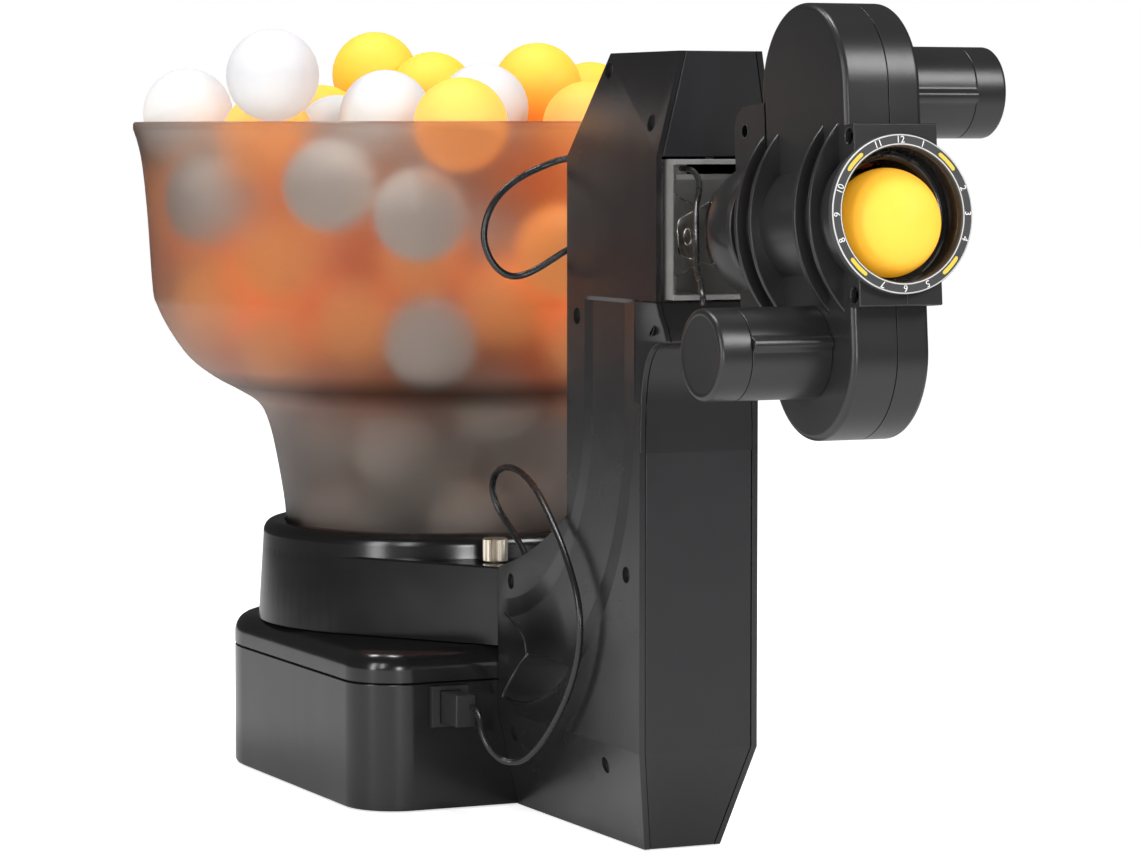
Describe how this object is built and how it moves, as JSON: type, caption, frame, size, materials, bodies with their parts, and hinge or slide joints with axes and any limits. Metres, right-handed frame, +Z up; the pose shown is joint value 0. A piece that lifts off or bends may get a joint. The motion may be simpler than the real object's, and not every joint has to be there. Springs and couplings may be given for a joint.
{
  "type": "table tennis robot",
  "caption": "Table tennis ball robot: smoky ball hopper on a low base, a slim tower, and a swinging, tilting and turning two-wheel shooting head with a round dial nozzle.",
  "frame": {"origin": "on the axis of the hopper and its turntable, at the level of the floor under the base", "axes": "+Z up; -Y is the way the balls are shot; +X is to the right when the nozzle is seen from the front"},
  "size_m": [0.2836, 0.5651, 0.3362],
  "materials": {
    "satin_black": "satin moulded",
    "gloss_black": "glossy moulded",
    "smoke": "smoky see-through, lightly frosted",
    "clear": "clear polished",
    "dial_grey": "satin with printed scale",
    "rubber_black": "matte",
    "tyre_red": "matte foam rubber",
    "plain_white": "moulded",
    "steel": "plain turned",
    "nickel": "straight knurled nickel plate",
    "board_green": "solder mask",
    "cable_black": "smooth glossy jacket"
  },
  "bodies": {
    "base": {"base_tray": "gloss_black", "base_cover": "gloss_black", "foot_1": "rubber_black", "foot_2": "rubber_black", "foot_3": "rubber_black", "foot_4": "rubber_black", "feed_housing": "gloss_black", "turntable_pan": "plain_white", "feed_gearbox": "steel", "feed_motor": "steel", "hopper": "smoke", "head_socket": "satin_black", "power_inlet": "satin_black", "remote_jack": "satin_black", "control_board": "board_green", "side_panel_left": "satin_black", "side_panel_right": "satin_black", "chin_cover": "satin_black", "tower_floor": "satin_black", "lower_front_panel": "satin_black", "top_front_cover": "satin_black", "back_panel": "satin_black", "arm_cover": "satin_black", "tower_pad": "rubber_black", "feed_bend": "plain_white", "feed_riser": "plain_white", "top_guide": "plain_white", "swing_deck": "satin_black", "swing_gearbox": "steel", "swing_motor": "steel", "cable_a": "cable_black", "cable_b": "cable_black", "plug_b": "cable_black"},
    "turntable": {"turntable": "plain_white"},
    "thumb_left": {"thumb_screw_left": "nickel"},
    "thumb_right": {"thumb_screw_right": "nickel"},
    "yoke": {"yoke": "clear", "cable_c_upper": "cable_black"},
    "cup": {"throat_cup": "satin_black", "tilt_arm_left": "clear", "tilt_arm_right": "clear"},
    "head": {"head_half_left": "satin_black", "head_half_right": "satin_black", "nozzle_block": "satin_black", "dial_ring": "dial_grey", "upper_motor": "steel", "lower_motor": "steel", "upper_motor_sleeve": "satin_black", "lower_motor_sleeve": "satin_black", "upper_motor_cap": "satin_black", "lower_motor_cap": "satin_black", "clamp_bolt_upper": "steel", "clamp_bolt_lower": "steel", "lug_bolt_upper": "steel", "lug_bolt_lower": "steel", "cable_c_lower": "cable_black"},
    "wheel_upper": {"upper_wheel_hub": "plain_white", "upper_wheel_tyre": "tyre_red"},
    "wheel_lower": {"lower_wheel_hub": "plain_white", "lower_wheel_tyre": "tyre_red"}
  },
  "joints": [
    {"name": "turntable_spin", "type": "hinge", "parent": "base", "child": "turntable", "pos_m": [0, 0, 0.047], "axis": [0, 0, 1], "continuous": true},
    {"name": "thumb_left_turn", "type": "hinge", "parent": "base", "child": "thumb_left", "pos_m": [-0.0195, -0.098, 0.104], "axis": [0, 0, 1], "continuous": true},
    {"name": "thumb_right_turn", "type": "hinge", "parent": "base", "child": "thumb_right", "pos_m": [0.0195, -0.098, 0.104], "axis": [0, 0, 1], "continuous": true},
    {"name": "head_swing", "type": "hinge", "parent": "base", "child": "yoke", "pos_m": [0, -0.265, 0.2485], "axis": [0, 0, 1], "range_deg": [-14, 14]},
    {"name": "head_tilt", "type": "hinge", "parent": "yoke", "child": "cup", "pos_m": [0, -0.291, 0.2485], "axis": [1, 0, 0], "range_deg": [-15, 15], "deforming": ["cable_c_upper"]},
    {"name": "head_spin", "type": "hinge", "parent": "cup", "child": "head", "pos_m": [0, -0.291, 0.2485], "axis": [0, -0.9965, 0.0837], "range_deg": [-180, 180]},
    {"name": "wheel_upper_spin", "type": "hinge", "parent": "head", "child": "wheel_upper", "pos_m": [0, -0.37268, 0.30353], "axis": [1, 0, 0], "continuous": true},
    {"name": "wheel_lower_spin", "type": "hinge", "parent": "head", "child": "wheel_lower", "pos_m": [0, -0.38072, 0.20786], "axis": [1, 0, 0], "continuous": true}
  ]
}
